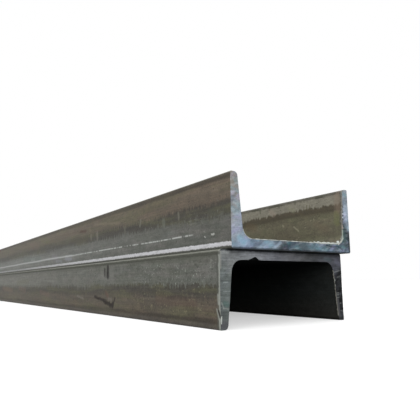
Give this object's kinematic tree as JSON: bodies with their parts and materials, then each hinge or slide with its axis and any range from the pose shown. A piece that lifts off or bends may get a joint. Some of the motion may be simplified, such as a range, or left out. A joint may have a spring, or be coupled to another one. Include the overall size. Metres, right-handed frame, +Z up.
{
  "type": "back-to-back steel channel pair",
  "caption": "Straight hot-rolled steel channels with taper flanges, laid web to web so that they give the outline of an I-section.",
  "frame": {"origin": "on the floor at the middle of the pair's box: halfway along it and halfway across it", "axes": "+X along the stock, towards the end where the upper channel stands out; +Y across, towards the side where the upper channel stands out; +Z up"},
  "size_m": [2.007, 0.146, 0.12],
  "materials": {
    "rolled_steel": "dull mill scale"
  },
  "bodies": {
    "root": {"upper_channel": "rolled_steel", "lower_channel": "rolled_steel"}
  },
  "joints": []
}
